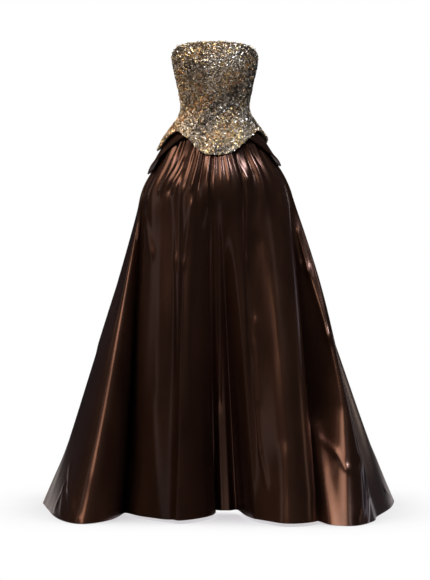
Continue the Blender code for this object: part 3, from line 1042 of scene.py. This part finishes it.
def make_linings():
    lining = lining_material()
    depth = BODICE_CLOTH + LAYER_GAP

    def inside(angle, height):
        return bodice_point(angle, height) - outward_normal(bodice_point, angle, height) * depth

    for name, start in (("left", 0), ("right", -180)):
        def grid(across, down, start=start):
            angle = start + 180 * across
            return angle, (closed_table(BASQUE_HEM, angle) + LINING_SET_BACK) * down

        read = surface_reader(inside, grid)
        sheet = cloth_sheet("basque_lining_cloth_" + name, *LINING_GRID, read, LINING_CLOTH)
        dress(sheet, "lining", lining, lining)
        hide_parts("basque_lining_" + name)

    def strip(across, down):
        return 180 + UNDERLAP_SPAN * (across - 0.5), UNDERLAP_TOP - UNDERLAP_DEPTH * down

    read = surface_reader(inside, strip)
    sheet = cloth_sheet("back_underlap_cloth", *UNDERLAP_GRID, read, LINING_CLOTH, draw_in=False)
    dress(sheet, "lining", lining, lining)
    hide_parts("back_closure_underlap")


# Encrusting


SEQUIN_SIDES = 8
SEQUIN_DISH = 0.12
CURL_THICKNESS = 0.085

# How far a curl's handles reach to the side, and how far they rise
CURLS = {"straight": (0.2, 0.05), "bent": (0.45, 0.45), "hooked": (0.1, 0.9)}

# Rows of trim go up from the first height to the second. Their pitch and the unevenness of
# each place are in spacings. They end inside the neckline and the basque's hem by the insets,
# and the rows along those edges lie EDGE_SPAN past them, which is just inside.
TRIM_HEIGHTS = (-0.140, 0.197)
ROW_PITCH = 0.82
UNEVEN_BY = 0.35
NECK_INSET = 0.0030
HEM_INSET = 0.0012
EDGE_SPAN = (-0.0040, -0.0004)
EDGE_SHIFT = 0.8
METRES_PER_DEGREE = 0.0022
BODICE_HALF_DEPTH = 0.095

# How curls turn together in patches, and how tones are mixed
SWIRL_SIZE = 0.035
SWIRL_TURN = 1.6
SWIRL_START = 0.9
TONE_SIZE = 0.045
TONE_ALONE = 0.60
PATCH_SHARE = 0.85


class Patch(NamedTuple):
    """A patch of the bodice where most pieces come from one part of the metals' range: some patches are
    the gown's own tones, some are painted highlight and painted shade.
    """

    angle: float
    height: float
    half_angle: float
    half_height: float
    low: float
    high: float


# Some patches below are painted highlight and painted shade, each marked; the rest are the gown's own
# tones.
TONE_AND_PAINTED_LIGHT_PATCHES = rows_of(
    Patch,
    # painted highlight: pale pieces down the centre front, where the front light falls
    (-3, 0.105, 9, 0.055, 0.32, 0.44),
    # painted highlight: pale pieces on the top of the wearer's left cup
    (22, 0.145, 18, 0.030, 0.32, 0.46),
    (-22, 0.165, 20, 0.018, 0.36, 0.84),
    # painted shade: dark pieces under the wearer's left cup
    (40, 0.045, 20, 0.035, 0.00, 0.22),
    # painted shade: dark pieces down the wearer's left side, turned from the lights
    (80, 0.090, 22, 0.090, 0.00, 0.24),
    (-34, 0.095, 14, 0.035, 0.08, 0.30),
    (-30, 0.010, 22, 0.035, 0.60, 0.94),
    (-10, -0.040, 14, 0.020, 0.10, 0.34),
    (30, -0.085, 12, 0.016, 0.50, 0.62),
    (2, -0.100, 20, 0.016, 0.55, 0.80),
    (8, -0.122, 16, 0.014, 0.04, 0.32),
)


def template(kind):
    """One sequin, bullion curl or bead, modelled once, about 1 across, as (points, faces)."""
    deselect_all()
    if kind == "sequin":
        bpy.ops.mesh.primitive_circle_add(vertices=SEQUIN_SIDES, radius=0.5, fill_type="TRIFAN")
        made = bpy.context.active_object
        for vertex in made.data.vertices:
            if vertex.co.length < 0.1:
                vertex.co.z = -SEQUIN_DISH
    elif kind == "bead":
        bpy.ops.mesh.primitive_ico_sphere_add(subdivisions=1, radius=0.5)
        made = bpy.context.active_object
    else:
        bpy.ops.curve.primitive_bezier_curve_add(radius=1)
        made = bpy.context.active_object
        start, end = made.data.splines[0].bezier_points
        reach, rise = CURLS[kind]
        for point, side in ((start, -1), (end, 1)):
            point.co = (side * 0.5, 0, 0)
            point.handle_left_type = point.handle_right_type = "FREE"
            point.handle_left = point.handle_right = (side * reach, rise, 0)
        made.data.bevel_depth = CURL_THICKNESS
        made.data.bevel_resolution = 0
        made.data.resolution_u = 4
        bpy.ops.object.convert(target="MESH")
    points = np.array([vertex.co[:] for vertex in made.data.vertices])
    faces = [list(face.vertices) for face in made.data.polygons]
    bpy.data.objects.remove(made)
    return points, faces


def bodice_frames(spacing, lift, seed, keep=1.0, margin=0.0):
    """Places all over the bodice: points, and the three unit directions at each.

    keep is the share of them that stays, and margin keeps them further inside the edges.
    """
    draw = np.random.default_rng(seed)
    angles, heights = [], []
    level = TRIM_HEIGHTS[0]
    row = 0
    while level < TRIM_HEIGHTS[1]:
        x, y = oval(BODICE_SECTIONS, np.array([90.0]), np.array([level]))
        around = 2 * math.pi * (abs(x[0]) + BODICE_HALF_DEPTH) / 2
        count = int(around / spacing)
        angle = (np.arange(count) + (row % 2) * 0.5) * 360.0 / count - 180
        angle = angle + draw.uniform(-UNEVEN_BY, UNEVEN_BY, count) * 360.0 / count
        height = level + draw.uniform(-UNEVEN_BY, UNEVEN_BY, count) * spacing
        angles.append(angle)
        heights.append(height)
        level += spacing * ROW_PITCH
        row += 1
    angle, height = np.concatenate(angles), np.concatenate(heights)
    inside = height < closed_table(NECKLINE, angle) - NECK_INSET - margin
    inside &= height > closed_table(BASQUE_HEM, angle) + HEM_INSET + margin
    inside &= draw.uniform(size=len(angle)) < keep
    angle, height = angle[inside], height[inside]
    for edge, above in ((NECKLINE, 1), (BASQUE_HEM, -1)):
        row = np.arange(-180, 180, spacing / METRES_PER_DEGREE)
        row = row + draw.uniform(-EDGE_SHIFT, EDGE_SHIFT)
        past_edge = draw.uniform(*EDGE_SPAN, len(row)) - margin
        angle = np.append(angle, row)
        height = np.append(height, closed_table(edge, row) + above * past_edge)
    points = bodice_point(angle, height)
    up = outward_normal(bodice_point, angle, height)
    side = unit(bodice_point(angle + STEP, height) - bodice_point(angle - STEP, height))
    along = np.cross(up, side)
    return points + up * (bodice_relief(points) + lift)[:, None], side, along, up


def scatter(name, shapes, places, sizes, tilt, comb, seed, metal):
    """Copies of small shapes over the bodice, joined as one mesh, with a tone for each copy.

    tilt is how far they lean out of the cloth, and comb how closely they lie along one
    another in patches: 0 for any way, 1 for all alike.
    """
    draw = np.random.default_rng(seed)
    origin, side, along, up = places
    count = len(origin)
    swirl = wave_noise(origin, SWIRL_SIZE, 31) * SWIRL_TURN + SWIRL_START
    turn = comb * swirl + (1 - comb) * draw.uniform(-math.pi, math.pi, count)
    lean_x, lean_y = draw.normal(0, tilt, count), draw.normal(0, tilt, count)
    tone = piece_tones(origin, draw)
    kind = draw.integers(0, len(shapes), count)
    cos, sin = np.cos(turn)[:, None], np.sin(turn)[:, None]
    first = unit(side * cos + along * sin + up * lean_x[:, None])
    second = along * cos - side * sin + up * lean_y[:, None]
    third = unit(np.cross(first, second))
    second = np.cross(third, first)
    frames = (origin, first, second, third)
    parts = [
        copies(name, shape, np.nonzero(kind == number)[0], frames, sizes, tone)
        for number, shape in enumerate(shapes)
    ]
    deselect_all()
    for part in parts:
        part.select_set(True)
    made = parts[0]
    bpy.context.view_layer.objects.active = made
    if len(parts) > 1:
        bpy.ops.object.join()
    made.name = name
    made.data.name = name
    return dress(made, "encrusted_cloth", metal)


def copies(name, shape, chosen, frames, sizes, tone):
    """One mesh of the copies of a shape at the chosen places."""
    points, faces = shape
    origin, first, second, third = (each[chosen][:, None] for each in frames)
    local = points[None] * sizes[chosen][:, None, :]
    x, y, z = local[..., 0:1], local[..., 1:2], local[..., 2:3]
    placed = origin + (x * first + y * second + z * third)
    count = len(chosen)
    mesh = bpy.data.meshes.new(name)
    corners = np.concatenate([np.array(face) for face in faces])
    lengths = np.array([len(face) for face in faces])
    loops = (corners[None] + (np.arange(count) * len(points))[:, None]).ravel()
    mesh.vertices.add(count * len(points))
    mesh.vertices.foreach_set("co", placed.reshape(-1))
    mesh.loops.add(len(loops))
    mesh.loops.foreach_set("vertex_index", loops)
    mesh.polygons.add(len(faces) * count)
    starts = np.concatenate([[0], np.cumsum(np.tile(lengths, count))[:-1]])
    mesh.polygons.foreach_set("loop_start", starts)
    mesh.update(calc_edges=True)
    mesh.validate()
    colour = mesh.attributes.new("tone", "FLOAT", "POINT")
    colour.data.foreach_set("value", np.repeat(tone[chosen], len(points)))
    made = bpy.data.objects.new(name, mesh)
    bpy.context.scene.collection.objects.link(made)
    return made


def piece_tones(origin, draw):
    """A tone for each piece: drawn freely, leaning one way in patches, some of which are painted highlight
    and painted shade.
    """
    tone = draw.uniform(0, 1, len(origin)) * TONE_ALONE
    tone = tone + (wave_noise(origin, TONE_SIZE, 41) * 0.5 + 0.5) * (1 - TONE_ALONE)
    angle = np.degrees(np.arctan2(origin[:, 0], -origin[:, 1]))
    # Some patches paint highlight and shade into the pieces' tones.
    for patch in TONE_AND_PAINTED_LIGHT_PATCHES:
        off = ((angle - patch.angle) / patch.half_angle) ** 2
        off = off + ((origin[:, 2] - patch.height) / patch.half_height) ** 2
        chosen = draw.uniform(0, 1, len(origin)) < PATCH_SHARE * np.exp(-off)
        tone = np.where(chosen, draw.uniform(patch.low, patch.high, len(origin)), tone)
    return np.clip(tone, 0, 1)


def make_encrusting(settings):
    spacing = settings.sequin_spacing
    size = settings.sequin_size
    draw = np.random.default_rng(21)

    metal = metal_trim("sequin metal", roughness=0.30)
    places = bodice_frames(spacing, lift=0.0006, seed=11)
    sizes = draw.uniform(0.7, 1.25, (len(places[0]), 1)) * size * np.ones((1, 3))
    scatter("sequins", [template("sequin")], places, sizes, tilt=0.34, comb=0, seed=12, metal=metal)

    metal = metal_trim("bullion metal", roughness=0.36)
    places = bodice_frames(spacing * 1.6, lift=0.0014, seed=13, keep=0.85, margin=0.0010)
    length = draw.uniform(0.0055, 0.0115, len(places[0]))
    thick = draw.uniform(0.008, 0.011, len(places[0]))
    sizes = np.stack([length, length, thick], -1)
    curls = [template(kind) for kind in CURLS]
    scatter("bullion_curls", curls, places, sizes, tilt=0.14, comb=0.72, seed=14, metal=metal)

    metal = metal_trim("bead metal", roughness=0.18)
    places = bodice_frames(spacing * 1.9, lift=0.0012, seed=15, keep=0.8)
    sizes = draw.uniform(0.0018, 0.0034, (len(places[0]), 1)) * np.ones((1, 3))
    scatter("beads", [template("bead")], places, sizes, tilt=0.5, comb=0, seed=16, metal=metal)


# Studio


class Light(NamedTuple):
    """A soft box, at a bearing round the gown: 0 in front, 90 at the viewer's right.

    stand is its distance from the axis and its height, and it aims at the axis.
    """

    name: str
    bearing: float
    stand: tuple
    brightness: float
    colour: tuple
    width: float = 1.2
    length: float = 1.4
    aim_height: float = -0.5


# The lights' colours, and the (distance, height) of stands that several of them share
WARM = (1.0, 0.86, 0.68)
BRONZE = (1.0, 0.80, 0.60)
COOL = (0.78, 0.88, 1.0)
HIGH = (1.90, 3.58)
ABOVE_EYE = (4.08, 1.40)
LOW = (4.48, -0.11)
LIGHTS = rows_of(
    Light,
    ("top right", 45, HIGH, 31, COOL),
    ("top left", -90, HIGH, 30, WARM),
    ("top front left", -45, HIGH, 6, COOL),
    ("overhead", 0, (0.16, 4.00), 14, WARM, 1.4, 1.2),
    ("rim right", 95, LOW, 1.0, BRONZE, 0.5),
    ("rim back right", 120, LOW, 0.8, COOL, 0.8),
    ("key", -40, (3.18, 2.68), 1.0, COOL),
    ("front low", 15, LOW, 0.25, COOL),
    ("back right", 150, LOW, 0.8, BRONZE, 0.4),
    ("side left", -75, ABOVE_EYE, 0.4, COOL),
    ("side low left", -75, LOW, 0.25, COOL),
    ("back left", -120, ABOVE_EYE, 0.5, WARM),
    ("flare", -40, (2.52, 2.73), 3.8, BRONZE, 2.6, 1.7, -1.0),
)

# The camera, the height of its view at the axis, and the floor
CAMERA_PLACE = (0, -7.0, -0.39)
CAMERA_AIM = (0, 0, -0.54)
VIEW_HEIGHT = 1.74
SENSOR = 36
FLOOR_GAP = 0.0005
FLOOR_SIZE = 60
SHADE_REACH = 0.30


def soft_light(light, strength):
    """Adds a soft box, whose power is its brightness times pi and its area."""
    turn = math.radians(light.bearing)
    distance, height = light.stand
    place = Vector((math.sin(turn) * distance, -math.cos(turn) * distance, height))
    deselect_all()
    bpy.ops.object.light_add(type="AREA", location=place)
    lamp = bpy.context.active_object
    lamp.name = light.name
    lamp.data.shape = "RECTANGLE"
    lamp.data.size = light.width
    lamp.data.size_y = light.length
    lamp.data.energy = light.brightness * strength * math.pi * light.width * light.length
    lamp.data.color = light.colour
    aim = Vector((0, 0, light.aim_height)) - place
    lamp.rotation_euler = aim.to_track_quat("-Z", "Y").to_euler()


def camera_mix(tree, for_light, for_camera, output):
    """Gives an output one shader for the camera and another for the rest of the light."""
    path = tree.nodes.new("ShaderNodeLightPath")
    mix = tree.nodes.new("ShaderNodeMixShader")
    tree.links.new(path.outputs["Is Camera Ray"], mix.inputs["Fac"])
    tree.links.new(for_light, mix.inputs[1])
    tree.links.new(for_camera, mix.inputs[2])
    tree.links.new(mix.outputs["Shader"], tree.nodes[output].inputs["Surface"])


def floor_material():
    """White to the camera with a soft contact shade, and a plain pale floor to everything else."""
    made = Nodes("pale floor")
    near = made.add("ShaderNodeAmbientOcclusion")
    near.inputs["Distance"].default_value = SHADE_REACH
    near.samples = 8
    shade = made.ramp(near.outputs["AO"], ((0.35, (0.62, 0.60, 0.62)), (0.95, (1.0, 1.0, 1.0))))
    white = made.add("ShaderNodeEmission")
    made.link(shade, white.inputs["Color"])
    camera_mix(made.tree, made.shader.outputs["BSDF"], white.outputs["Emission"], "Material Output")
    made.set(Base_Color=(0.50, 0.485, 0.48, 1), Roughness=0.6)
    return made.material


def make_floor():
    low = min(CAD_BOX[0][2], CAD_BOX[1][2])
    deselect_all()
    bpy.ops.mesh.primitive_plane_add(size=FLOOR_SIZE, location=(0, 0, low - FLOOR_GAP))
    floor = bpy.context.active_object
    floor.name = "studio_floor"
    floor.data.materials.append(floor_material())


def make_surroundings(brightness):
    """White to the camera, and a dim studio to the gown."""
    world = bpy.data.worlds.new("studio")
    bpy.context.scene.world = world
    world.use_nodes = True
    tree = world.node_tree
    seen = tree.nodes["Background"]
    seen.inputs["Color"].default_value = (1, 1, 1, 1)
    seen.inputs["Strength"].default_value = 1.0
    lit = tree.nodes.new("ShaderNodeBackground")
    lit.inputs["Color"].default_value = (0.86, 0.88, 1.0, 1)
    lit.inputs["Strength"].default_value = brightness
    camera_mix(tree, lit.outputs["Background"], seen.outputs["Background"], "World Output")


def make_camera():
    """The photograph's view: from the front, nearly level, with the gown in the middle."""
    deselect_all()
    bpy.ops.object.camera_add(location=CAMERA_PLACE)
    camera = bpy.context.active_object
    camera.name = "camera"
    aim = Vector(CAMERA_AIM) - camera.location
    camera.rotation_euler = aim.to_track_quat("-Z", "Y").to_euler()
    camera.data.sensor_width = SENSOR
    camera.data.lens = SENSOR * -CAMERA_PLACE[1] / VIEW_HEIGHT
    camera.data.dof.use_dof = False
    bpy.context.scene.camera = camera
    bpy.context.scene.view_settings.view_transform = "Standard"


def make_stage(settings):
    make_floor()
    make_surroundings(settings.surroundings)
    for light in LIGHTS:
        soft_light(light, settings.light_power)
    make_camera()


# The add-on


class GownSettings(PropertyGroup):
    """Sizes and colours that a user would change."""

    sequin_size: FloatProperty(
        name="Sequin size",
        description="How wide a sequin is",
        default=0.005,
        min=0.002,
        max=0.01,
        unit="LENGTH",
    )
    sequin_spacing: FloatProperty(
        name="Sequin spacing",
        description="How far apart the sequins are sewn",
        default=0.005,
        min=0.002,
        max=0.01,
        unit="LENGTH",
    )
    satin_dark: FloatVectorProperty(
        name="Satin, dark",
        description="The satin's colour in its darker areas",
        default=(0.050, 0.022, 0.014),
        subtype="COLOR",
        min=0,
        max=1,
    )
    satin_light: FloatVectorProperty(
        name="Satin, light",
        description="The satin's colour in its lighter areas",
        default=(0.125, 0.055, 0.034),
        subtype="COLOR",
        min=0,
        max=1,
    )
    light_power: FloatProperty(
        name="Light power",
        description="How strong all the studio lights are",
        default=1.0,
        min=0,
        max=10,
    )
    surroundings: FloatProperty(
        name="Surroundings",
        description="How bright the studio is round the lights",
        default=0.02,
        min=0,
        max=5,
    )


class GOWN_OT_skirt(Operator):
    """Makes the five satin skirt panels."""

    bl_idname = "gown.make_skirt"
    bl_label = "Make skirt"

    def execute(self, context):
        make_skirt(context.scene.gown)
        return {"FINISHED"}


class GOWN_OT_hip_drapes(Operator):
    """Makes the two satin hip drapes."""

    bl_idname = "gown.make_hip_drapes"
    bl_label = "Make hip drapes"

    def execute(self, context):
        make_hip_drapes(context.scene.gown)
        return {"FINISHED"}


class GOWN_OT_bodice(Operator):
    """Makes the seven bodice panels."""

    bl_idname = "gown.make_bodice"
    bl_label = "Make bodice"

    def execute(self, context):
        make_bodice()
        return {"FINISHED"}


class GOWN_OT_linings(Operator):
    """Makes the basque lining and the underlap of the back closure."""

    bl_idname = "gown.make_linings"
    bl_label = "Make linings"

    def execute(self, context):
        make_linings()
        return {"FINISHED"}


class GOWN_OT_encrusting(Operator):
    """Sews the sequins, bullion curls and beads on the bodice."""

    bl_idname = "gown.make_encrusting"
    bl_label = "Make encrusting"

    def execute(self, context):
        make_encrusting(context.scene.gown)
        return {"FINISHED"}


class GOWN_OT_stage(Operator):
    """Makes the floor, the surroundings, the lights and the camera."""

    bl_idname = "gown.make_stage"
    bl_label = "Make stage"

    def execute(self, context):
        make_stage(context.scene.gown)
        return {"FINISHED"}


class GOWN_PT_panel(Panel):
    """Lists the gown's settings and pieces."""

    bl_idname = "GOWN_PT_panel"
    bl_label = "Strapless gown"
    bl_space_type = "VIEW_3D"
    bl_region_type = "UI"
    bl_category = "Gown"

    def draw(self, context):
        settings = context.scene.gown
        for key in settings.__annotations__:
            self.layout.prop(settings, key)
        for operator in OPERATORS:
            self.layout.operator(operator.bl_idname)


OPERATORS = (
    GOWN_OT_skirt,
    GOWN_OT_hip_drapes,
    GOWN_OT_bodice,
    GOWN_OT_linings,
    GOWN_OT_encrusting,
    GOWN_OT_stage,
)
CLASSES = (GownSettings,) + OPERATORS + (GOWN_PT_panel,)


def register():
    for each in CLASSES:
        bpy.utils.register_class(each)
    bpy.types.Scene.gown = PointerProperty(type=GownSettings)


def unregister():
    del bpy.types.Scene.gown
    for each in reversed(CLASSES):
        bpy.utils.unregister_class(each)


def main():
    register()
    bpy.ops.gown.make_skirt()
    bpy.ops.gown.make_hip_drapes()
    bpy.ops.gown.make_bodice()
    bpy.ops.gown.make_linings()
    bpy.ops.gown.make_encrusting()
    bpy.ops.gown.make_stage()


if __name__ == "__main__":
    main()
